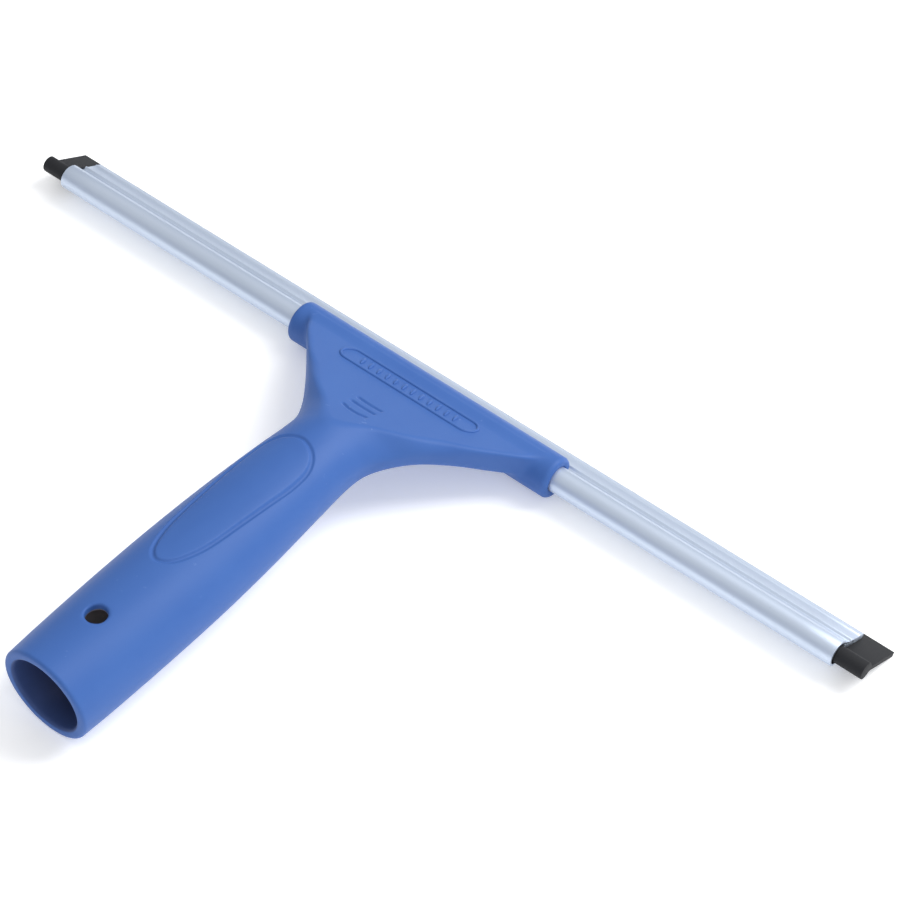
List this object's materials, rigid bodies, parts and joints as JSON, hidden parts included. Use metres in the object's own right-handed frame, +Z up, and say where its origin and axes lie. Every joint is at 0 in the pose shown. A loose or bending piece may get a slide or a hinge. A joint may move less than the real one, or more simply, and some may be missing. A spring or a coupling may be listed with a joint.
{
  "type": "window squeegee",
  "caption": "Hand squeegee with a moulded pole-socket handle, an aluminium channel and a slide-in rubber blade for wiping glass or wetting down film.",
  "frame": {"origin": "centre of the footprint, on the surface that the squeegee lies on", "axes": "+X along the blade, +Y from the pole socket towards the blade, +Z up, with the working edge and the socket's rim both on Z = 0"},
  "size_m": [0.3238, 0.1804, 0.0336],
  "materials": {
    "moulding": "blue moulded plastic, low sheen",
    "channel": "satin clear anodised extrusion",
    "rubber": "black moulded rubber, matt"
  },
  "bodies": {
    "handle": {"handle": "moulding"},
    "channel": {"channel": "channel"},
    "blade": {"rubber_blade": "rubber"}
  },
  "joints": [
    {"name": "channel_slide", "type": "slide", "parent": "handle", "child": "channel", "axis": [1, 0, 0], "range_m": [-0.205, 0.205]},
    {"name": "blade_slide", "type": "slide", "parent": "channel", "child": "blade", "axis": [1, 0, 0], "range_m": [-0.316, 0.316]}
  ]
}
